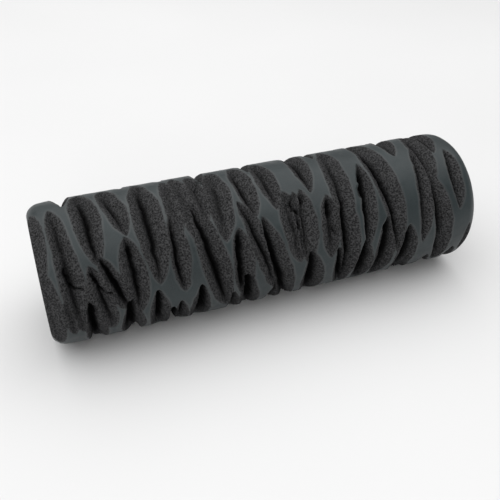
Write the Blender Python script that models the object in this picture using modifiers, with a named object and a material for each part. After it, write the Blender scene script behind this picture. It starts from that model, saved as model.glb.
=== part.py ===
"""Textured pattern roller: a sleeve of black foam, carved all round with leaf-shaped gouges, glued on a plastic core
tube that slides onto the cage of a nine inch paint roller frame.

Metres, +Z up. The roller lies on its side with its axis along X. The origin is the centre of the bore, half way along.
A place on the foam is given by x along the axis and by an angle that starts at the top (+Z) and turns over the
front (-Y) of the roller."""

import math
import random

import bpy
import numpy as np
from mathutils import Matrix

MM = 0.001
OBJECT_NAME = "textured_pattern_roller"

# Driving dimensions, in millimetres and degrees
LENGTH = 229.0  # nine inch roller cover, foam and core cut off flush
FOAM_OD = 71.2  # over the uncut skin of the foam
CORE_BORE = 38.1  # inch and a half cage
CORE_WALL = 1.7
CORE_CHAMFER = 0.4
GLUE_THICKNESS = 0.5
GAP = 0.3  # between pieces that touch
END_RADIUS = 6.0  # rounding of the foam's rims
END_SAG = 1.2  # the foam narrows by this much, on the radius, at its ends
END_SAG_LENGTH = 14.0
DEEPEST_CUT = 8.0

TURN_STEPS = 144  # steps round the blank before the cuts are sculpted
LENGTH_STEPS = 156
BORE_STEPS = 40
FOAM_TRIANGLES = 7400

FOAM_R = FOAM_OD / 2
CORE_R_IN = CORE_BORE / 2
CORE_R_OUT = CORE_R_IN + CORE_WALL
GLUE_R_IN = CORE_R_OUT + GAP
GLUE_R_OUT = GLUE_R_IN + GLUE_THICKNESS
FOAM_R_IN = GLUE_R_OUT + GAP
FOAM_HALF = LENGTH / 2

# The gouges on the front of the sleeve. Each is a leaf cut with a hot blade, from one pointed tip to the other, and is
# deepest along a crease that may lie to one side of its middle:
# x of the upper tip, its angle, x of the lower tip, its angle, half width, depth, how far the crease lies sideways.
FRONT_CUTS = (
    (-112.8, -5, -113.2, 60, 5.2, 3.2, 0.0),
    (-113.0, 50, -111.4, 128, 5.8, 3.2, 0.0),
    (-104, -1.6, -101.2, 61.4, 4.6, 5.0, -0.4),
    (-102.6, 23.4, -99.1, 110.4, 6.2, 5.8, -1.0),
    (-105.6, 75.4, -103.1, 111.4, 3.6, 3.6, 0.0),
    (-90, -25.6, -87.6, 55.4, 7.0, 6.6, -0.2),
    (-78.7, -22.6, -72.2, 37.4, 5.7, 4.8, -0.8),
    (-61.5, -23.6, -60.8, 79.4, 7.7, 6.6, -0.4),
    (-73.6, 37.4, -71.8, 101.4, 6.5, 6.4, 0.0),
    (-87, 48.4, -77.3, 96.4, 4.8, 6.4, 0.3),
    (-92, 53.4, -85.4, 115.4, 6.0, 5.0, 0.6),
    (-94.6, 81.4, -91.8, 154.4, 5.7, 6.8, -1.0),
    (-75.7, 87.4, -75.7, 151.4, 6.3, 7.4, -1.4),
    (-62.7, 83.4, -61.6, 148.4, 6.0, 6.4, -0.6),
    (-56, 104.4, -54.6, 152.4, 3.6, 5.8, 0.6),
    (-51.8, 99.4, -50.6, 149.4, 4.2, 5.0, 0.0),
    (-47.6, -17.6, -48.2, 48.4, 4.8, 3.6, 0.0),
    (-50.4, 26.4, -49.8, 90.4, 5.1, 5.6, -1.8),
    (-42.3, -21.6, -41.5, 51.4, 5.0, 3.6, 0.4),
    (-41.7, 87.4, -42.3, 151.4, 5.6, 6.8, 1.7),
    (-39.8, 18.4, -28, 123.4, 7.2, 7.2, -0.5),
    (-35, -17.6, -34, 41.4, 4.8, 4.0, 0.3),
    (-23.3, -19.6, -26.5, 57.4, 6.6, 5.2, 0.2),
    (-20.2, 48.4, -19.2, 110.4, 5.8, 6.6, -1.6),
    (-17.4, 88.4, -14.2, 153.4, 5.8, 6.8, 0.2),
    (-24.9, 103.4, -22.9, 151.4, 4.0, 5.0, 0.0),
    (-11.2, -22.6, -9.7, 42.4, 5.7, 5.2, -1.6),
    (-16.6, 26.4, -2.7, 110.4, 5.3, 5.8, 0.1),
    (-7, 43.4, 7.4, 149.4, 6.5, 7.4, -1.2),
    (-2.4, 106.4, -1.8, 157.4, 4.6, 6.0, 0.0),
    (1.4, -22.6, 2, 40.4, 5.5, 5.0, 0.4),
    (6.8, 25.4, 9.9, 87.4, 6.2, 4.8, 0.4),
    (11.9, 27.4, 12.5, 85.4, 4.6, 4.2, 0.0),
    (16.4, 26.4, 14.7, 90.4, 5.8, 4.8, -1.4),
    (16.6, 79.4, 20.6, 153.4, 6.6, 7.6, -0.8),
    (23, -60.6, 21.8, 31.4, 5.7, 6.4, 0.0),
    (28.8, 35.4, 26.6, 89.4, 5.4, 5.2, 0.8),
    (39, -22.6, 36.4, 77.4, 6.5, 4.8, 0.2),
    (37, 21.4, 38.4, 128.4, 5.9, 6.4, -1.3),
    (31.1, 81.4, 38.8, 139.4, 5.4, 6.6, -0.8),
    (53.2, 11.4, 47.8, 88.4, 4.5, 7.0, -1.7),
    (46.9, 79.4, 47.9, 141.4, 5.4, 7.4, -0.4),
    (59, -44.6, 66.9, 101.4, 7.0, 6.4, -1.6),
    (59.6, 63.4, 57.4, 141.4, 6.3, 7.4, 0.0),
    (80.3, -68.6, 75.2, 11.4, 5.2, 5.6, 0.0),
    (92.2, -29.6, 89.8, 45.4, 6.0, 5.0, -0.4),
    (86.5, 4.4, 80.6, 95.4, 4.9, 5.4, -1.2),
    (89.8, 33.4, 96.4, 135.4, 6.0, 7.2, -2.6),
    (72.6, 74.4, 72, 152.4, 6.6, 6.8, 0.4),
    (88.2, 115.4, 90.2, 167.4, 4.2, 5.6, 0.0),
    (101.7, -44.6, 97.7, 15.4, 4.6, 5.0, 0.0),
    (104.3, 13.4, 102.9, 70.4, 4.4, 5.2, -1.2),
    (103.1, 111.4, 106, 153.4, 4.0, 5.6, 0.0),
    (109.6, 85.4, 109.8, 123.4, 2.6, 2.2, 0.0),
    (-98.7, -76.6, -97.5, -3.6, 5.4, 6.4, 0.0),
    (-69.5, -82.6, -68.6, -20.6, 4.8, 5.0, 0.0),
    (-49.2, -82.6, -48.6, -22.6, 4.6, 4.8, 0.0),
    (-29.4, -78.6, -29.4, -2.6, 4.6, 6.0, 0.0),
    (-3.3, -78.6, -3.7, -4.6, 4.4, 6.2, 0.0),
    (32.9, -78.6, 32.7, -8.6, 3.8, 5.4, 0.0),
    (48.7, -82.6, 49.3, -24.6, 4.8, 4.8, 0.0),
    (68.9, -82.6, 70, -24.6, 4.6, 4.8, 0.0),
    (95.6, -78.6, 95.8, -14.6, 4.0, 5.0, 0.0),
)

# The gouges round the back follow the same rule: rows of leaves, each row half a pitch along from the last.
BACK_ROWS = (176.0, 218.0, 259.0)
BACK_PITCH = 21.0
BACK_REACH = 45.0  # half of a leaf's length, in degrees
BACK_SEED = 23


def back_cuts():
    """The leaves that the front list leaves out, in staggered rows with a cutter's unevenness."""
    rng = random.Random(BACK_SEED)
    cuts = []
    for row, middle in enumerate(BACK_ROWS):
        count = int(LENGTH / BACK_PITCH) + 2
        for k in range(count):
            x = (k - (count - 1) / 2 + 0.5 * (row % 2)) * BACK_PITCH + rng.uniform(-2.2, 2.2)
            turn = middle + rng.uniform(-6, 6)
            reach = BACK_REACH * rng.uniform(0.86, 1.12)
            lean = rng.uniform(-5.5, 6.5)
            half_width = rng.uniform(4.9, 6.6)
            depth = rng.uniform(5.0, 6.8)
            bow = rng.uniform(-1.2, 1.2)
            if abs(x) < LENGTH / 2 - 3:
                cuts.append((x - lean / 2, turn - reach, x + lean / 2, turn + reach, half_width, depth, bow))
    return tuple(cuts)


CUTS = FRONT_CUTS + back_cuts()


def cut_depth(x, degrees):
    """How far below the uncut skin the foam lies, in millimetres, at arrays of x and angle."""
    round_way = math.tau * FOAM_R
    u = np.radians(degrees) * FOAM_R
    deepest = np.zeros_like(x, dtype=float)
    for x0, a0, x1, a1, half_width, depth, bow in CUTS:
        u0, u1 = math.radians(a0) * FOAM_R, math.radians(a1) * FOAM_R
        half = math.hypot(x1 - x0, u1 - u0) / 2
        along_x, along_u = (x1 - x0) / (2 * half), (u1 - u0) / (2 * half)
        dx = x - (x0 + x1) / 2
        du = (u - (u0 + u1) / 2 + round_way / 2) % round_way - round_way / 2
        s = (dx * along_x + du * along_u) / half
        body = np.clip(1 - s * s, 0, None)
        shift = bow * body
        across = (dx * along_u - du * along_x) - shift
        width = half_width * body**0.63 + 1e-6
        q = np.clip(1 - np.abs(across) / (width - np.sign(across) * shift), 0, 1)
        q = np.where(np.abs(across + shift) < width, q, 0.0)
        deepest = np.maximum(deepest, depth * body**0.5 * q**1.75)
    return np.minimum(deepest, DEEPEST_CUT)


def fresh_scene():
    for ob in list(bpy.data.objects):
        bpy.data.objects.remove(ob, do_unlink=True)


def collection(name, hidden=False):
    made = bpy.data.collections.new(name)
    bpy.context.scene.collection.children.link(made)
    made.hide_render = hidden
    return made


def material(name, color, roughness, metallic=0.0):
    made = bpy.data.materials.new(name)
    made.use_nodes = True
    shader = made.node_tree.nodes["Principled BSDF"]
    shader.inputs["Base Color"].default_value = (*color, 1.0)
    shader.inputs["Roughness"].default_value = roughness
    shader.inputs["Metallic"].default_value = metallic
    made.diffuse_color = (*color, 1.0)
    return made


def lie_down(ob):
    """Lays a piece turned about Z along X, with its angle counted from the top over the front."""
    ob.rotation_euler = (0.0, math.radians(90), 0.0)


def turned(name, profile, steps, home, closed=True):
    """A piece turned about Z: (radius, height) pairs in millimetres that run down the outer side, top to bottom."""
    mesh = bpy.data.meshes.new(name)
    points = [(r * MM, 0.0, z * MM) for r, z in profile]
    edges = [(i, i + 1) for i in range(len(points) - 1)]
    if closed:
        edges.append((len(points) - 1, 0))
    mesh.from_pydata(points, edges, [])
    ob = bpy.data.objects.new(name, mesh)
    home.objects.link(ob)
    screw = ob.modifiers.new("turn", "SCREW")
    screw.axis = "Z"
    screw.angle = math.tau
    screw.steps = steps
    screw.render_steps = steps
    screw.use_merge_vertices = True
    screw.merge_threshold = 0.00001
    screw.use_smooth_shade = False
    return ob


def apply_modifiers(ob):
    """Replaces an object's mesh with the mesh that its modifiers make."""
    bpy.context.view_layer.update()
    graph = bpy.context.evaluated_depsgraph_get()
    made = bpy.data.meshes.new_from_object(ob.evaluated_get(graph), depsgraph=graph)
    ob.modifiers.clear()
    old = ob.data
    ob.data = made
    made.name = ob.name
    bpy.data.meshes.remove(old)


def shade(ob, sharp_degrees):
    ob.data.shade_smooth()
    ob.data.set_sharp_from_angle(angle=math.radians(sharp_degrees))


def sleeve_profile(half, chamfer, r_in, r_out):
    """A plain tube with its four rims chamfered, in the order that a turned piece needs."""
    return [
        (r_out - chamfer, half),
        (r_out, half - chamfer),
        (r_out, -half + chamfer),
        (r_out - chamfer, -half),
        (r_in + chamfer, -half),
        (r_in, -half + chamfer),
        (r_in, half - chamfer),
        (r_in + chamfer, half),
    ]


def sag(z):
    """How much narrower the foam is near its ends."""
    near = np.clip((np.abs(z) - (FOAM_HALF - END_SAG_LENGTH)) / END_SAG_LENGTH, 0, 1)
    return END_SAG * near**2


def foam_cover(home, cutters):
    """The carved sleeve: a turned blank, its skin pressed in along each gouge, thinned out, then bored."""
    rim = 6
    profile = [(0.0, FOAM_HALF), (FOAM_R * 0.45, FOAM_HALF)]
    for k in range(rim + 1):
        a = math.pi / 2 * k / rim
        profile.append((FOAM_R - END_RADIUS + END_RADIUS * math.sin(a), FOAM_HALF - END_RADIUS * (1 - math.cos(a))))
    straight = FOAM_HALF - END_RADIUS
    for k in range(1, LENGTH_STEPS):
        profile.append((FOAM_R, straight - 2 * straight * k / LENGTH_STEPS))
    profile += [(r, -z) for r, z in reversed(profile[: rim + 3])]
    blank = turned("foam_cover", profile, TURN_STEPS, home, closed=False)
    apply_modifiers(blank)

    mesh = blank.data
    n = len(mesh.vertices)
    co = np.empty(n * 3)
    mesh.vertices.foreach_get("co", co)
    co = co.reshape(-1, 3) / MM
    r = np.hypot(co[:, 0], co[:, 1])
    z = co[:, 2]
    # A turned piece's +X comes to lie at the bottom, so its own angle is half a turn on from the roller's.
    degrees = np.degrees(np.arctan2(co[:, 1], co[:, 0])) - 180.0
    depth = cut_depth(z, degrees) + sag(z)
    # The cuts fade down the end faces, which stay flat.
    outer = np.clip((r - (FOAM_R - END_RADIUS)) / END_RADIUS, 0, 1)
    new_r = r - depth * outer
    scale = np.where(r > 1e-6, new_r / np.maximum(r, 1e-6), 1.0)
    co[:, 0] *= scale
    co[:, 1] *= scale
    mesh.vertices.foreach_set("co", (co * MM).ravel())
    mesh.update()

    thin = blank.modifiers.new("thin_out", "DECIMATE")
    thin.decimate_type = "COLLAPSE"
    faces = sum(len(p.vertices) - 2 for p in mesh.polygons)
    thin.ratio = FOAM_TRIANGLES / faces
    thin.use_collapse_triangulate = True
    apply_modifiers(blank)

    bpy.ops.mesh.primitive_cylinder_add(vertices=BORE_STEPS, radius=FOAM_R_IN * MM, depth=(LENGTH + 20) * MM)
    bore = bpy.context.object
    bore.name = "foam_bore_cutter"
    bore.data.name = bore.name
    for col in list(bore.users_collection):
        col.objects.unlink(bore)
    cutters.objects.link(bore)
    bore.hide_render = True
    bore.display_type = "WIRE"
    lie_down(bore)
    lie_down(blank)
    cut = blank.modifiers.new("bore", "BOOLEAN")
    cut.operation = "DIFFERENCE"
    cut.solver = "EXACT"
    cut.object = bore
    return blank


def main():
    fresh_scene()
    home = collection(OBJECT_NAME)
    cutters = collection("cutters", hidden=True)

    foam = foam_cover(home, cutters)
    foam.data.materials.append(material("foam", (0.036, 0.041, 0.043), 0.85))
    shade(foam, 40)

    # The glue film stays a little inside the foam at both ends.
    glue = turned(
        "adhesive_layer", sleeve_profile(FOAM_HALF - 1.0, 0.1, GLUE_R_IN, GLUE_R_OUT), BORE_STEPS, home
    )
    lie_down(glue)
    glue.data.materials.append(material("adhesive", (0.55, 0.47, 0.30), 0.5))

    core = turned(
        "core_tube", sleeve_profile(LENGTH / 2, CORE_CHAMFER, CORE_R_IN, CORE_R_OUT), BORE_STEPS, home
    )
    lie_down(core)
    core.data.materials.append(material("core", (0.045, 0.046, 0.048), 0.5))


main()
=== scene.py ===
"""Textured pattern roller: the looks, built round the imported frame.

The carved foam is remade at about half a millimetre, with the same gouges as the CAD sleeve, plus the cut foam's grain,
ragged creases and tears. The core tube and the glue film are remade smooth. Metres, +Z up, the roller's axis along X."""

import math
import random

import bpy
import numpy as np
from mathutils import Matrix, Vector


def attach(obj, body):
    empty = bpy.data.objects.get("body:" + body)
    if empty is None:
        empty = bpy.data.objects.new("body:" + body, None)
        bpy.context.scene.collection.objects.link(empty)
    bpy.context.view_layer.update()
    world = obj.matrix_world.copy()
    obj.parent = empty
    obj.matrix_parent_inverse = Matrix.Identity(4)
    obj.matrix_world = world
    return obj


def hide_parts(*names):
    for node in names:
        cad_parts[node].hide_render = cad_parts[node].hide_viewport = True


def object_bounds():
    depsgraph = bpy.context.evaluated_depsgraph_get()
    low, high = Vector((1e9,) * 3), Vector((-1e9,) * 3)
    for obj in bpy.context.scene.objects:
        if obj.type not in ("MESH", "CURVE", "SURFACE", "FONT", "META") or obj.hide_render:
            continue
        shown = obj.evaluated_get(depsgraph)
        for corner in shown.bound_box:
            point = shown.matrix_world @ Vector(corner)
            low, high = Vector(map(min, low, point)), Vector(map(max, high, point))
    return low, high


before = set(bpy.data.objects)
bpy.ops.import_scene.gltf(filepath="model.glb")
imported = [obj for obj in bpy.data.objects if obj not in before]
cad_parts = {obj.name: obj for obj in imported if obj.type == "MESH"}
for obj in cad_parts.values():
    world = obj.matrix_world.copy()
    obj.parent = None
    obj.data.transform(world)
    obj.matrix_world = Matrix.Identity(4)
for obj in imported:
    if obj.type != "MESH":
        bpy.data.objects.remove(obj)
cad_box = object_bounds()

MM = 0.001
# The sleeve's sizes, as the CAD part has them, in millimetres
LENGTH = 229.0
FOAM_OD = 71.2
END_RADIUS = 6.0
END_SAG = 1.2
END_SAG_LENGTH = 14.0
DEEPEST_CUT = 8.0
CORE_R_IN = 19.05
CORE_R_OUT = 20.75
GLUE_R_IN = 21.05
GLUE_R_OUT = 21.55
FOAM_R_IN = 21.85
FOAM_R = FOAM_OD / 2
FOAM_HALF = LENGTH / 2

PITCH = 0.45  # between points of the foam's skin

# The gouges on the front: x of the upper tip, its angle, x of the lower tip, its angle, half width, depth, sideways
# bow of the middle, and how deep the torn slit along its crease goes.
FRONT_CUTS = (
    (-112.8, -5, -113.2, 60, 5.2, 3.2, 0.0, 0.0),
    (-113.0, 50, -111.4, 128, 5.8, 3.2, 0.0, 0.0),
    (-104, -1.6, -101.2, 61.4, 4.6, 5.0, -0.4, 0.5),
    (-102.6, 23.4, -99.1, 110.4, 6.2, 5.8, -1.0, 0.35),
    (-105.6, 75.4, -103.1, 111.4, 3.6, 3.6, 0.0, 0.0),
    (-90, -25.6, -87.6, 55.4, 7.0, 6.6, -0.2, 1.6),
    (-78.7, -22.6, -72.2, 37.4, 5.7, 4.8, -0.8, 1.0),
    (-61.5, -23.6, -60.8, 79.4, 7.7, 6.6, -0.4, 1.5),
    (-73.6, 37.4, -71.8, 101.4, 6.5, 6.4, 0.0, 1.6),
    (-87, 48.4, -77.3, 96.4, 4.8, 6.4, 0.3, 3.2),
    (-92, 53.4, -85.4, 115.4, 6.0, 5.0, 0.6, 1.2),
    (-94.6, 81.4, -91.8, 154.4, 5.7, 6.8, -1.0, 4.5),
    (-75.7, 87.4, -75.7, 151.4, 6.3, 7.4, -1.4, 5.4),
    (-62.7, 83.4, -61.6, 148.4, 6.0, 6.4, -0.6, 3.6),
    (-56, 104.4, -54.6, 152.4, 3.6, 5.8, 0.6, 3.6),
    (-51.8, 99.4, -50.6, 149.4, 4.2, 5.0, 0.0, 1.8),
    (-47.6, -17.6, -48.2, 48.4, 4.8, 3.6, 0.0, 0.1),
    (-50.4, 26.4, -49.8, 90.4, 5.1, 5.6, -1.8, 1.8),
    (-42.3, -21.6, -41.5, 51.4, 5.0, 3.6, 0.4, 0.2),
    (-41.7, 87.4, -42.3, 151.4, 5.6, 6.8, 1.7, 4.2),
    (-39.8, 18.4, -28, 123.4, 7.2, 7.2, -0.5, 2.1),
    (-35, -17.6, -34, 41.4, 4.8, 4.0, 0.3, 0.2),
    (-23.3, -19.6, -26.5, 57.4, 6.6, 5.2, 0.2, 0.2),
    (-20.2, 48.4, -19.2, 110.4, 5.8, 6.6, -1.6, 3.4),
    (-17.4, 88.4, -14.2, 153.4, 5.8, 6.8, 0.2, 4.8),
    (-24.9, 103.4, -22.9, 151.4, 4.0, 5.0, 0.0, 2.1),
    (-11.2, -22.6, -9.7, 42.4, 5.7, 5.2, -1.6, 1.3),
    (-16.6, 26.4, -2.7, 110.4, 5.3, 5.8, 0.1, 1.2),
    (-7, 43.4, 7.4, 149.4, 6.5, 7.4, -1.2, 3.6),
    (-2.4, 106.4, -1.8, 157.4, 4.6, 6.0, 0.0, 3.6),
    (1.4, -22.6, 2, 40.4, 5.5, 5.0, 0.4, 0.8),
    (6.8, 25.4, 9.9, 87.4, 6.2, 4.8, 0.4, 0.3),
    (11.9, 27.4, 12.5, 85.4, 4.6, 4.2, 0.0, 0.6),
    (16.4, 26.4, 14.7, 90.4, 5.8, 4.8, -1.4, 0.8),
    (16.6, 79.4, 20.6, 153.4, 6.6, 7.6, -0.8, 5.4),
    (23, -60.6, 21.8, 31.4, 5.7, 6.4, 0.0, 0.9),
    (28.8, 35.4, 26.6, 89.4, 5.4, 5.2, 0.8, 0.5),
    (39, -22.6, 36.4, 77.4, 6.5, 4.8, 0.2, 0.8),
    (37, 21.4, 38.4, 128.4, 5.9, 6.4, -1.3, 2.6),
    (31.1, 81.4, 38.8, 139.4, 5.4, 6.6, -0.8, 4.2),
    (53.2, 11.4, 47.8, 88.4, 4.5, 7.0, -1.7, 3.2),
    (46.9, 79.4, 47.9, 141.4, 5.4, 7.4, -0.4, 5.4),
    (59, -44.6, 66.9, 101.4, 7.0, 6.4, -1.6, 2.2),
    (59.6, 63.4, 57.4, 141.4, 6.3, 7.4, 0.0, 4.8),
    (80.3, -68.6, 75.2, 11.4, 5.2, 5.6, 0.0, 0.8),
    (92.2, -29.6, 89.8, 45.4, 6.0, 5.0, -0.4, 0.9),
    (86.5, 4.4, 80.6, 95.4, 4.9, 5.4, -1.2, 1.2),
    (89.8, 33.4, 96.4, 135.4, 6.0, 7.2, -2.6, 2.8),
    (72.6, 74.4, 72, 152.4, 6.6, 6.8, 0.4, 4.6),
    (88.2, 115.4, 90.2, 167.4, 4.2, 5.6, 0.0, 3.6),
    (101.7, -44.6, 97.7, 15.4, 4.6, 5.0, 0.0, 0.8),
    (104.3, 13.4, 102.9, 70.4, 4.4, 5.2, -1.2, 1.4),
    (103.1, 111.4, 106, 153.4, 4.0, 5.6, 0.0, 3.3),
    (109.6, 85.4, 109.8, 123.4, 2.6, 2.2, 0.0, 0.0),
    (-98.7, -76.6, -97.5, -3.6, 5.4, 6.4, 0.0, 0.8),
    (-69.5, -82.6, -68.6, -20.6, 4.8, 5.0, 0.0, 0.8),
    (-49.2, -82.6, -48.6, -22.6, 4.6, 4.8, 0.0, 0.8),
    (-29.4, -78.6, -29.4, -2.6, 4.6, 6.0, 0.0, 1.2),
    (-3.3, -78.6, -3.7, -4.6, 4.4, 6.2, 0.0, 1.0),
    (32.9, -78.6, 32.7, -8.6, 3.8, 5.4, 0.0, 0.8),
    (48.7, -82.6, 49.3, -24.6, 4.8, 4.8, 0.0, 0.8),
    (68.9, -82.6, 70, -24.6, 4.6, 4.8, 0.0, 0.8),
    (95.6, -78.6, 95.8, -14.6, 4.0, 5.0, 0.0, 0.8),
)
BACK_ROWS = (176.0, 218.0, 259.0)
BACK_PITCH = 21.0
BACK_REACH = 45.0
BACK_SEED = 23

# Small tears where the blade slipped or the foam pulled out: x, angle, length along, lean in degrees, half width, depth
TEARS = (
    (-103.4, 54.4, 5.4, 0, 0.9, 3.8),
    (-103, 60.4, 5.6, 6, 1.0, 4.2),
    (-101.4, 67.4, 5.2, 42, 0.9, 3.8),
    (-98.4, 70.4, 4.8, 84, 0.7, 3.2),
    (-91.8, 61.4, 4.4, 20, 0.7, 3.4),
    (-90.4, 67.4, 4.8, 30, 0.9, 4.0),
    (-88.4, 74.4, 5.2, 40, 0.9, 4.0),
    (-85.4, 78.4, 4.6, 84, 0.7, 3.4),
    (-34.6, 0.4, 3.4, 70, 1.0, 3.2),
    (-31.8, -3.6, 4.0, -30, 1.0, 3.4),
    (-29.4, -0.6, 3.0, 10, 0.9, 3.0),
    (10.2, 37.4, 9.0, -4, 1.4, 4.8),
    (12.4, 44.4, 5.0, 24, 0.9, 3.8),
    (15.8, 34.4, 5.0, 4, 1.3, 4.4),
    (11.4, 56.4, 6.0, 6, 0.6, 2.8),
    (28.6, 47.4, 12.0, -12, 1.7, 5.2),
    (30, 67.4, 7.0, 4, 0.6, 2.6),
    (50.4, 26.4, 13.0, -16, 1.7, 4.4),
    (47.4, 38.4, 8.0, -10, 1.2, 3.4),
    (-93.7, 91.4, 8.0, 0, 1.8, 3.6),
    (-62.4, 93.4, 6.5, 4, 1.6, 3.6),
    (-41.2, 95.4, 7.0, 2, 1.8, 3.6),
    (59.2, 72.4, 7.0, -6, 2.2, 4.2),
    (72.4, 84.4, 7.0, 0, 1.8, 3.6),
    (-17.4, 96.4, 7.0, 8, 1.8, 3.8),
    (-19.7, 59.4, 8.0, -4, 1.2, 3.4),
    (-72.7, 48.4, 8.0, 0, 1.2, 3.4),
    (-53.6, 121.4, 6.0, 10, 1.4, 3.0),
)


def back_cuts():
    rng = random.Random(BACK_SEED)
    slit = random.Random(BACK_SEED + 1)
    cuts = []
    for row, middle in enumerate(BACK_ROWS):
        count = int(LENGTH / BACK_PITCH) + 2
        for k in range(count):
            x = (k - (count - 1) / 2 + 0.5 * (row % 2)) * BACK_PITCH + rng.uniform(-2.2, 2.2)
            turn = middle + rng.uniform(-6, 6)
            reach = BACK_REACH * rng.uniform(0.86, 1.12)
            lean = rng.uniform(-5.5, 6.5)
            half_width = rng.uniform(4.9, 6.6)
            depth = rng.uniform(5.0, 6.8)
            bow = rng.uniform(-1.2, 1.2)
            if abs(x) < LENGTH / 2 - 3:
                cuts.append(
                    (x - lean / 2, turn - reach, x + lean / 2, turn + reach, half_width, depth, bow, slit.uniform(0.8, 3.2))
                )
    return tuple(cuts)


CUTS = FRONT_CUTS + back_cuts()


# Noise made from hashed lattices, the same on every run
def lattice(ix, iy, iz, seed):
    n = (
        ix.astype(np.int64) * 73856093
        ^ iy.astype(np.int64) * 19349663
        ^ iz.astype(np.int64) * 83492791
        ^ seed * 2654435761
    ) & 0xFFFFFFFF
    n = ((n ^ (n >> 13)) * 1274126177) & 0xFFFFFFFF
    n = ((n ^ (n >> 16)) * 2246822519) & 0xFFFFFFFF
    return ((n ^ (n >> 15)) & 0xFFFFFF) / float(0xFFFFFF) * 2 - 1


def noise(p, size, seed, wrap_y=0):
    """Smooth noise from -1 to 1 at points p (n x 3, millimetres) with cells of that size, or one size for each axis."""
    q = p / np.broadcast_to(np.asarray(size, float), (3,))
    i = np.floor(q).astype(np.int64)
    f = q - i
    f = f * f * f * (f * (f * 6 - 15) + 10)
    out = 0
    for dx in (0, 1):
        wx = f[:, 0] if dx else 1 - f[:, 0]
        for dy in (0, 1):
            wy = f[:, 1] if dy else 1 - f[:, 1]
            iy = i[:, 1] + dy
            if wrap_y:
                iy = iy % wrap_y
            for dz in (0, 1):
                wz = f[:, 2] if dz else 1 - f[:, 2]
                out = out + wx * wy * wz * lattice(i[:, 0] + dx, iy, i[:, 2] + dz, seed)
    return out


def smooth(low, high, v):
    t = np.clip((v - low) / (high - low), 0, 1)
    return t * t * (3 - 2 * t)


def carve(x, degrees, wander, ragged):
    """The depth below the skin, the distance inside the nearest gouge's edge (negative on the skin) and how near the
    point is to a crease, from 0 to 1. wander and ragged are sideways shifts in millimetres."""
    round_way = math.tau * FOAM_R
    u = np.radians(degrees) * FOAM_R
    deepest = np.zeros(len(x))
    edge = np.full(len(x), -30.0)
    crease = np.zeros(len(x))
    for x0, a0, x1, a1, half_width, depth, bow, slit in CUTS:
        u0, u1 = math.radians(a0) * FOAM_R, math.radians(a1) * FOAM_R
        half = math.hypot(x1 - x0, u1 - u0) / 2
        along_x, along_u = (x1 - x0) / (2 * half), (u1 - u0) / (2 * half)
        dx = x - (x0 + x1) / 2
        du = (u - (u0 + u1) / 2 + round_way / 2) % round_way - round_way / 2
        near = (np.abs(dx) < half_width + 14) & (np.abs(du) < half + 8)
        dx, du = dx[near], du[near]
        s = (dx * along_x + du * along_u) / half
        body = np.clip(1 - s * s, 0, None)
        across = dx * along_u - du * along_x + wander[near]
        width = half_width * body**0.63 + 1e-6
        inside = width - np.abs(across)
        # The crease lies to one side of the middle, so one wall is steeper than the other.
        shift = bow * body
        q = np.clip(1 - np.abs(across - shift) / (width - np.sign(across - shift) * shift), 0, 1)
        torn = across - shift + ragged[near]
        cut = depth * body**0.5 * q**1.75 + slit * body**0.5 * np.exp(-((torn / (0.55 + 0.14 * slit)) ** 2))
        cut = np.where(inside > 0, cut, 0)
        deepest[near] = np.maximum(deepest[near], cut)
        out = np.where(np.abs(s) > 1, -np.hypot(across, (np.abs(s) - 1) * half), inside)
        edge[near] = np.maximum(edge[near], out)
        # Painted shade mask: how near black the material paints the foam along the torn crease
        crease_shade = min(0.25 + slit / 2.2, 1.15) * body**0.35 * np.exp(-((torn / (0.5 + 0.12 * slit + 0.085 * slit * slit)) ** 2))
        crease[near] = np.maximum(crease[near], crease_shade)
    for tx, ta, length, lean, half_width, depth in TEARS:
        a = math.radians(lean)
        dx = x - tx
        du = (u - math.radians(ta) * FOAM_R + round_way / 2) % round_way - round_way / 2
        s = (dx * math.sin(a) + du * math.cos(a)) / (length / 2)
        t = (dx * math.cos(a) - du * math.sin(a)) + ragged * 1.2
        body = np.clip(1 - s * s, 0, None)
        q = np.clip(1 - np.abs(t) / (half_width * 1.5 * body**0.5 + 1e-6), 0, 1)
        deepest = deepest + depth * body**0.5 * q**1.2
        edge = np.maximum(edge, np.where(q > 0, 0.6 * q, -30.0))
        # A tear's floor also goes into the painted crease shade mask
        crease = np.maximum(crease, smooth(0.3, 1.0, q) * body**0.3)
    return np.minimum(deepest, DEEPEST_CUT + 2.6), edge, crease


def foam_profile():
    """(x, radius, share of the radial cut, kind) once round the sleeve's section: kind 0 skin, 1 end face, 2 bore."""
    out = []
    r_flat = FOAM_R - END_RADIUS
    n_face = max(8, int((r_flat - FOAM_R_IN) / (PITCH * 1.3)))
    for k in range(n_face):
        out.append((-FOAM_HALF, FOAM_R_IN + (r_flat - FOAM_R_IN) * k / n_face, 0.0, 1))
    n_rim = max(8, int(END_RADIUS * math.pi / 2 / PITCH))
    for k in range(n_rim):
        a = math.pi / 2 * k / n_rim
        out.append(
            (-FOAM_HALF + END_RADIUS * (1 - math.cos(a)), r_flat + END_RADIUS * math.sin(a), math.sin(a), 0)
        )
    straight = 2 * (FOAM_HALF - END_RADIUS)
    n_out = int(straight / PITCH)
    for k in range(n_out + 1):
        out.append((-straight / 2 + straight * k / n_out, FOAM_R, 1.0, 0))
    half_round = [(-x, r, w, kind) for x, r, w, kind in reversed(out[: n_face + n_rim])]
    out += half_round
    n_bore = 10
    for k in range(1, n_bore):
        out.append((FOAM_HALF - 2 * FOAM_HALF * k / n_bore, FOAM_R_IN, 0.0, 2))
    return np.array(out)


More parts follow.
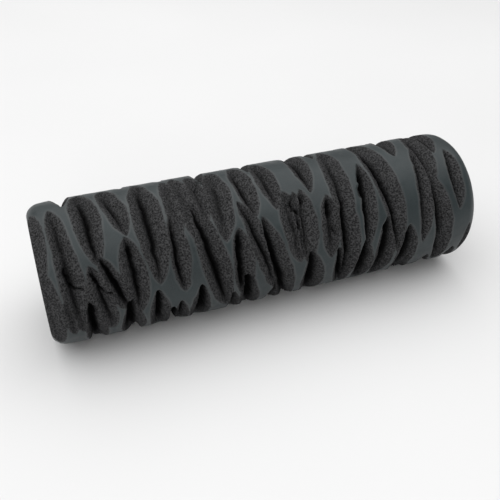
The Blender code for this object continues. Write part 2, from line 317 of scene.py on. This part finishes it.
def foam_mesh():
    profile = foam_profile()
    rings = len(profile)
    turns = int(round(math.tau * FOAM_R / PITCH))
    theta = np.arange(turns) / turns * math.tau
    x = np.repeat(profile[:, 0], turns)
    r = np.repeat(profile[:, 1], turns)
    share = np.repeat(profile[:, 2], turns)
    kind = np.repeat(profile[:, 3], turns)
    t = np.tile(theta, rings)
    place = np.c_[x, -r * np.sin(t), r * np.cos(t)]
    wander = 0.55 * noise(place, 9.0, 1) + 0.28 * noise(place, 3.6, 2)
    ragged = 0.36 * noise(place, 1.7, 3) + 0.2 * noise(place, 0.9, 4)
    depth, edge, crease = carve(x, np.degrees(t), wander, ragged)
    skin = kind == 0
    depth, edge, crease = depth * skin, np.where(skin, edge, 3.0), crease * skin
    # The rims are cut across the gouges, so they fade towards the end faces.
    near = np.clip((np.abs(x) - (FOAM_HALF - END_SAG_LENGTH)) / END_SAG_LENGTH, 0, 1)
    sag = END_SAG * near**2 * skin

    cells = int(round(math.tau * FOAM_R / 0.95))
    flat = np.c_[x, t / math.tau * cells, np.zeros_like(x)]
    combed = noise(flat, (3.2, 1.0, 1.0), 11, wrap_y=cells)
    cells2 = int(round(math.tau * FOAM_R / 0.55))
    flat2 = np.c_[x, t / math.tau * cells2, np.zeros_like(x)]
    fine = noise(flat2, (0.7, 1.0, 1.0), 12, wrap_y=cells2)
    grain = 0.5 * noise(place, 1.25, 13) + 0.5 * fine + 0.35 * combed
    rough = smooth(0.0, 0.7, edge) * skin
    lumps = noise(place, 5.5, 14)
    skin_wave = noise(place, 11.0, 15) * 0.16 + noise(place, 3.0, 16) * 0.05

    outer = depth + sag - rough * (0.23 * grain + 0.32 * lumps) - skin_wave * skin
    new_r = r - share * outer
    new_x = x + (kind == 1) * np.sign(x) * -0.12 * (0.6 + grain)
    co = np.c_[new_x, -new_r * np.sin(t), new_r * np.cos(t)] * MM

    ring = np.arange(rings)[:, None] * turns
    col = np.arange(turns)[None, :]
    ring2 = ((np.arange(rings) + 1) % rings)[:, None] * turns
    col2 = (col + 1) % turns
    quads = np.stack([ring + col, ring + col2, ring2 + col2, ring2 + col], axis=-1).reshape(-1, 4)

    mesh = bpy.data.meshes.new("carved_foam")
    mesh.vertices.add(len(co))
    mesh.vertices.foreach_set("co", co.astype(np.float32).ravel())
    mesh.loops.add(quads.size)
    mesh.loops.foreach_set("vertex_index", quads.astype(np.int32).ravel())
    mesh.polygons.add(len(quads))
    mesh.polygons.foreach_set("loop_start", np.arange(0, quads.size, 4, dtype=np.int32))
    mesh.update(calc_edges=True)
    mesh.validate()
    # The material paints shade from crease and depth_mm, and a highlight along the lips from edge_mm
    for name, values in (("edge_mm", edge), ("depth_mm", depth), ("crease", crease), ("end_face", (kind == 1) * 1.0)):
        made = mesh.attributes.new(name, "FLOAT", "POINT")
        made.data.foreach_set("value", np.clip(values, -4, 12).astype(np.float32))
    mesh.shade_smooth()
    inside = (edge > 0.45) | ~skin
    mesh.polygons.foreach_set("material_index", inside[quads].all(axis=1).astype(np.int32))
    return mesh


def volume(mesh):
    mesh.calc_loop_triangles()
    n = len(mesh.loop_triangles)
    tri = np.zeros(n * 3, np.int32)
    mesh.loop_triangles.foreach_get("vertices", tri)
    co = np.zeros(len(mesh.vertices) * 3, np.float32)
    mesh.vertices.foreach_get("co", co)
    co = co.reshape(-1, 3).astype(float)
    a, b, c = (co[tri.reshape(-1, 3)[:, k]] for k in range(3))
    return float((a * np.cross(b, c)).sum() / 6)


class Nodes:
    """Short calls for making a node tree."""

    def __init__(self, name):
        self.material = bpy.data.materials.new(name)
        self.material.use_nodes = True
        self.tree = self.material.node_tree
        self.shader = self.tree.nodes["Principled BSDF"]
        self.x = -200

    def add(self, kind, **settings):
        node = self.tree.nodes.new(kind)
        node.location = (self.x, random.Random(len(self.tree.nodes)).uniform(-600, 600))
        self.x -= 60
        for key, value in settings.items():
            setattr(node, key, value)
        return node

    def link(self, a, b):
        self.tree.links.new(a, b)

    def put(self, socket, value):
        if isinstance(value, bpy.types.NodeSocket):
            self.link(value, socket)
        else:
            socket.default_value = value

    def noise(self, vector, scale, detail=2.0, roughness=0.5, distortion=0.0):
        n = self.add("ShaderNodeTexNoise")
        self.put(n.inputs["Vector"], vector)
        n.inputs["Scale"].default_value = scale
        n.inputs["Detail"].default_value = detail
        n.inputs["Roughness"].default_value = roughness
        n.inputs["Distortion"].default_value = distortion
        return n.outputs["Fac"]

    def voronoi(self, vector, scale, feature="F1"):
        n = self.add("ShaderNodeTexVoronoi", feature=feature)
        self.put(n.inputs["Vector"], vector)
        n.inputs["Scale"].default_value = scale
        return n.outputs["Distance"]

    def math(self, operation, a, b=0.0, clamp=False):
        n = self.add("ShaderNodeMath", operation=operation, use_clamp=clamp)
        self.put(n.inputs[0], a)
        self.put(n.inputs[1], b)
        return n.outputs[0]

    def range(self, value, low, high, to_low=0.0, to_high=1.0, smooth_it=False):
        n = self.add("ShaderNodeMapRange", interpolation_type="SMOOTHSTEP" if smooth_it else "LINEAR")
        self.put(n.inputs["Value"], value)
        n.inputs["From Min"].default_value = low
        n.inputs["From Max"].default_value = high
        n.inputs["To Min"].default_value = to_low
        n.inputs["To Max"].default_value = to_high
        return n.outputs["Result"]

    def mix(self, fac, a, b, blend="MIX"):
        n = self.add("ShaderNodeMix", data_type="RGBA", blend_type=blend)
        self.put(n.inputs["Factor"], fac)
        self.put(n.inputs[6], a)
        self.put(n.inputs[7], b)
        return n.outputs[2]

    def value_mix(self, fac, a, b):
        n = self.add("ShaderNodeMix", data_type="FLOAT")
        self.put(n.inputs["Factor"], fac)
        self.put(n.inputs[2], a)
        self.put(n.inputs[3], b)
        return n.outputs[0]

    def attribute(self, name):
        n = self.add("ShaderNodeAttribute", attribute_name=name)
        return n.outputs["Fac"]

    def bump(self, height, distance, strength=1.0, normal=None):
        n = self.add("ShaderNodeBump")
        n.inputs["Strength"].default_value = strength
        n.inputs["Distance"].default_value = distance
        self.put(n.inputs["Height"], height)
        if normal is not None:
            self.link(normal, n.inputs["Normal"])
        return n.outputs["Normal"]


def foam_material(name, gloss):
    """Black closed-cell foam: a satin moulded skin where it was never cut, open matt cells in the gouges. Both of the
    foam's materials hold the same pattern, so no seam shows between them, and differ in how glossy they are."""
    m = Nodes(name)
    where = m.add("ShaderNodeTexCoord").outputs["Object"]
    edge = m.attribute("edge_mm")
    crease = m.attribute("crease")
    depth = m.attribute("depth_mm")

    # The border between skin and cut foam, a little torn
    fray = m.noise(where, 900.0, 3.0, 0.6)
    frayed = m.math("ADD", edge, m.range(fray, 0.3, 0.7, -0.28, 0.28))
    cut = m.range(frayed, 0.1, 0.5, smooth_it=True)

    # Skin: a cool slate tint, clouded, with faint rubbed streaks
    cloud = m.noise(where, 60.0, 4.0, 0.55)
    fine = m.noise(where, 1500.0, 2.0, 0.6)
    skin = m.mix(m.range(cloud, 0.35, 0.68), (0.0132, 0.0195, 0.0212, 1), (0.0205, 0.0290, 0.0310, 1))
    skin = m.mix(m.range(fine, 0.35, 0.7, 0.0, 0.35), skin, (0.031, 0.0400, 0.0422, 1))
    # Painted highlight: the skin is made paler along the lips of the gouges, in clouded patches
    lip_highlight = m.math("MULTIPLY", m.range(edge, -1.1, -0.1, smooth_it=True), m.range(cloud, 0.3, 0.6, 0.35, 1.0))
    # Mixes the painted lip highlight into the skin colour
    skin = m.mix(m.math("MULTIPLY", lip_highlight, 0.6), skin, (0.054, 0.058, 0.059, 1))

    # Cut foam: near black, with each burst cell a shade lighter or darker
    cells = m.voronoi(where, 1150.0)
    grain = m.noise(where, 980.0, 3.0, 0.65)
    patch = m.noise(where, 130.0, 3.0, 0.6)
    raw = m.mix(m.range(grain, 0.34, 0.66), (0.0036, 0.0036, 0.0038, 1), (0.0455, 0.0455, 0.0465, 1))
    raw = m.mix(m.range(patch, 0.35, 0.7, 0.0, 0.4), raw, (0.019, 0.0193, 0.0202, 1))
    raw = m.mix(m.range(cells, 0.4, 0.75, 0.0, 0.6), raw, (0.078, 0.078, 0.080, 1))
    # Painted shade: the cut foam is darkened towards the foot of a deep gouge, standing in for the shade that falls
    # there.
    raw = m.mix(m.range(depth, 2.4, 6.2, 0.0, 0.88, True), raw, (0.0042, 0.0042, 0.0044, 1))
    # Painted shade: near black along the creases, from the crease mask
    raw = m.mix(m.range(crease, 0.4, 1.0, 0.0, 0.9, True), raw, (0.0018, 0.0018, 0.0019, 1))

    m.link(m.mix(cut, skin, raw), m.shader.inputs["Base Color"])
    skin_rough = m.range(m.noise(where, 240.0, 3.0, 0.6), 0.3, 0.7, 0.38, 0.52)
    m.link(m.value_mix(cut, skin_rough, 0.95), m.shader.inputs["Roughness"])
    m.shader.inputs["Specular IOR Level"].default_value = gloss

    skin_height = m.math("ADD", m.math("MULTIPLY", fine, 0.35), m.math("MULTIPLY", m.noise(where, 420.0, 2.0), 0.5))
    raw_height = m.math("ADD", m.math("MULTIPLY", grain, 1.0), m.math("MULTIPLY", cells, 0.8))
    height = m.value_mix(cut, m.math("MULTIPLY", skin_height, 0.12), raw_height)
    m.link(m.bump(height, 0.00045, 0.9), m.shader.inputs["Normal"])
    return m.material


def core_material():
    """Extruded black plastic: draw lines along the tube, scuffed on its rims."""
    m = Nodes("core")
    coordinates = m.add("ShaderNodeTexCoord").outputs["Object"]
    stretch = m.add("ShaderNodeMapping")
    stretch.inputs["Scale"].default_value = (0.03, 1.0, 1.0)
    m.link(coordinates, stretch.inputs["Vector"])
    lines = m.noise(stretch.outputs["Vector"], 1500.0, 3.0, 0.6)
    cloud = m.noise(coordinates, 90.0, 4.0, 0.6)
    base = m.mix(m.range(cloud, 0.35, 0.65), (0.032, 0.033, 0.035, 1), (0.046, 0.047, 0.049, 1))
    base = m.mix(m.range(lines, 0.5, 0.75, 0.0, 0.4), base, (0.07, 0.071, 0.073, 1))
    # Rims rubbed grey by the frame's end caps
    place = m.add("ShaderNodeSeparateXYZ")
    m.link(coordinates, place.inputs[0])
    end = m.range(m.math("ABSOLUTE", place.outputs[0]), 0.1139, 0.1144, smooth_it=True)
    scuff = m.math("MULTIPLY", end, m.range(m.noise(coordinates, 700.0, 3.0, 0.65), 0.45, 0.65))
    base = m.mix(m.math("MULTIPLY", scuff, 0.6), base, (0.16, 0.16, 0.158, 1))
    m.link(base, m.shader.inputs["Base Color"])
    m.link(m.value_mix(scuff, m.range(cloud, 0.3, 0.7, 0.42, 0.55), 0.72), m.shader.inputs["Roughness"])
    m.shader.inputs["Specular IOR Level"].default_value = 0.45
    height = m.math("ADD", m.math("MULTIPLY", lines, 0.7), m.math("MULTIPLY", m.noise(coordinates, 900.0, 2.0), 0.3))
    m.link(m.bump(height, 0.00006, 0.8), m.shader.inputs["Normal"])
    return m.material


def adhesive_material():
    """Set contact glue: amber to brown, stringy, glossy where it pooled."""
    m = Nodes("adhesive")
    where = m.add("ShaderNodeTexCoord").outputs["Object"]
    cloud = m.noise(where, 220.0, 4.0, 0.6, 0.6)
    speck = m.noise(where, 1400.0, 2.0, 0.6)
    base = m.mix(m.range(cloud, 0.35, 0.68), (0.30, 0.215, 0.10, 1), (0.50, 0.41, 0.24, 1))
    base = m.mix(m.range(speck, 0.55, 0.75, 0.0, 0.5), base, (0.16, 0.11, 0.06, 1))
    m.link(base, m.shader.inputs["Base Color"])
    m.link(m.range(cloud, 0.3, 0.7, 0.3, 0.55), m.shader.inputs["Roughness"])
    m.link(m.bump(m.math("ADD", cloud, m.math("MULTIPLY", speck, 0.3)), 0.0002, 0.8), m.shader.inputs["Normal"])
    return m.material


def floor_material():
    m = Nodes("floor")
    where = m.add("ShaderNodeTexCoord").outputs["Object"]
    tone = m.range(m.noise(where, 3.0, 2.0), 0.3, 0.7)
    m.link(m.mix(tone, (0.72, 0.72, 0.72, 1), (0.75, 0.75, 0.75, 1)), m.shader.inputs["Base Color"])
    m.shader.inputs["Roughness"].default_value = 0.9
    m.shader.inputs["Specular IOR Level"].default_value = 0.1
    return m.material


def turned_ring(name, profile, steps, bevel=0.0):
    """A closed section turned about X."""
    mesh = bpy.data.meshes.new(name)
    mesh.from_pydata(
        [(r * MM, 0.0, z * MM) for r, z in profile], [(i, (i + 1) % len(profile)) for i in range(len(profile))], []
    )
    ob = bpy.data.objects.new(name, mesh)
    bpy.context.scene.collection.objects.link(ob)
    screw = ob.modifiers.new("turn", "SCREW")
    screw.axis = "Z"
    screw.angle = math.tau
    screw.steps = steps
    screw.render_steps = steps
    screw.use_merge_vertices = True
    screw.merge_threshold = 0.00001
    bpy.context.view_layer.update()
    graph = bpy.context.evaluated_depsgraph_get()
    made = bpy.data.meshes.new_from_object(ob.evaluated_get(graph), depsgraph=graph)
    ob.modifiers.clear()
    ob.data = made
    made.name = name
    made.transform(Matrix.Rotation(math.radians(90), 4, "Y"))
    if volume(made) < 0:
        made.flip_normals()
    made.shade_smooth()
    made.set_sharp_from_angle(angle=math.radians(35))
    return ob


def add_area(name, place, aim, size, power, color=(1, 1, 1)):
    data = bpy.data.lights.new(name, "AREA")
    data.shape = "RECTANGLE"
    data.size, data.size_y = size
    data.energy = power
    data.color = color
    ob = bpy.data.objects.new(name, data)
    ob.location = place
    ob.rotation_euler = (Vector(aim) - Vector(place)).to_track_quat("-Z", "Y").to_euler()
    bpy.context.scene.collection.objects.link(ob)
    return ob


def studio():
    scene = bpy.context.scene
    scene.view_settings.view_transform = "Standard"
    scene.view_settings.look = "None"
    world = bpy.data.worlds.new("studio")
    world.use_nodes = True
    back = world.node_tree.nodes["Background"]
    back.inputs["Color"].default_value = (1.0, 1.0, 1.0, 1)
    back.inputs["Strength"].default_value = 0.34
    scene.world = world

    bpy.ops.mesh.primitive_plane_add(size=8.0, location=(0, 0, cad_box[0][2] - 0.0002))
    floor = bpy.context.object
    floor.name = "floor"
    floor.data.materials.append(floor_material())

    add_area("top_softbox", (-0.1, 0.1, 1.0), (0, 0, 0), (2.6, 2.2), 26.5)
    add_area("front_fill", (-0.5, -1.2, 0.5), (0, 0, 0), (1.2, 0.9), 3.0)

    data = bpy.data.cameras.new("camera")
    data.sensor_width = 36.0
    data.sensor_fit = "HORIZONTAL"
    data.lens = 49.49
    data.clip_start = 0.01
    data.shift_x = 0.0034
    data.shift_y = -0.0026
    camera = bpy.data.objects.new("camera", data)
    right = Vector((0.93921, -0.34334, 0.0))
    up = Vector((0.20121, 0.55041, 0.81028))
    back_way = right.cross(up)
    camera.matrix_world = Matrix(
        (
            (right.x, up.x, back_way.x, -0.1092),
            (right.y, up.y, back_way.y, -0.28463),
            (right.z, up.z, back_way.z, 0.20886),
            (0, 0, 0, 1),
        )
    )
    bpy.context.scene.collection.objects.link(camera)
    scene.camera = camera


def build():
    mesh = foam_mesh()
    if volume(mesh) < 0:
        mesh.flip_normals()
    foam = bpy.data.objects.new("carved_foam", mesh)
    bpy.context.scene.collection.objects.link(foam)
    foam.data.materials.append(foam_material("foam_skin", 0.36))
    foam.data.materials.append(foam_material("foam_cut", 0.08))
    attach(foam, "root")
    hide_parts("foam_cover")

    def rounded(half, r_in, r_out, chamfer):
        points = []
        for cr, cz, start in (
            (r_out - chamfer, half - chamfer, 90),
            (r_out - chamfer, -half + chamfer, 0),
            (r_in + chamfer, -half + chamfer, -90),
            (r_in + chamfer, half - chamfer, -180),
        ):
            for k in range(5):
                a = math.radians(start - 90 * k / 4)
                points.append((cr + chamfer * math.cos(a), cz + chamfer * math.sin(a)))
        return points

    core = turned_ring("core_sleeve", rounded(LENGTH / 2 - 0.1, CORE_R_IN, CORE_R_OUT, 0.35), 144)
    core.data.materials.append(core_material())
    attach(core, "root")
    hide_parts("core_tube")

    glue = turned_ring("glue_film", rounded(FOAM_HALF - 1.0, GLUE_R_IN - 0.25, GLUE_R_OUT + 0.25, 0.3), 180)
    ring = glue.data
    for v in ring.vertices:
        near_end = smooth(0.1095, 0.1122, np.array(abs(v.co.x)))
        a = math.atan2(-v.co.y, v.co.z)
        ooze = 0.35 * math.sin(5 * a + 1.0) + 0.25 * math.sin(11 * a + 2.2) + 0.2 * math.sin(23 * a)
        v.co.x += math.copysign(float(near_end) * ooze * 0.0007, v.co.x)
    glue.data.materials.append(adhesive_material())
    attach(glue, "root")
    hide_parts("adhesive_layer")


studio()
build()
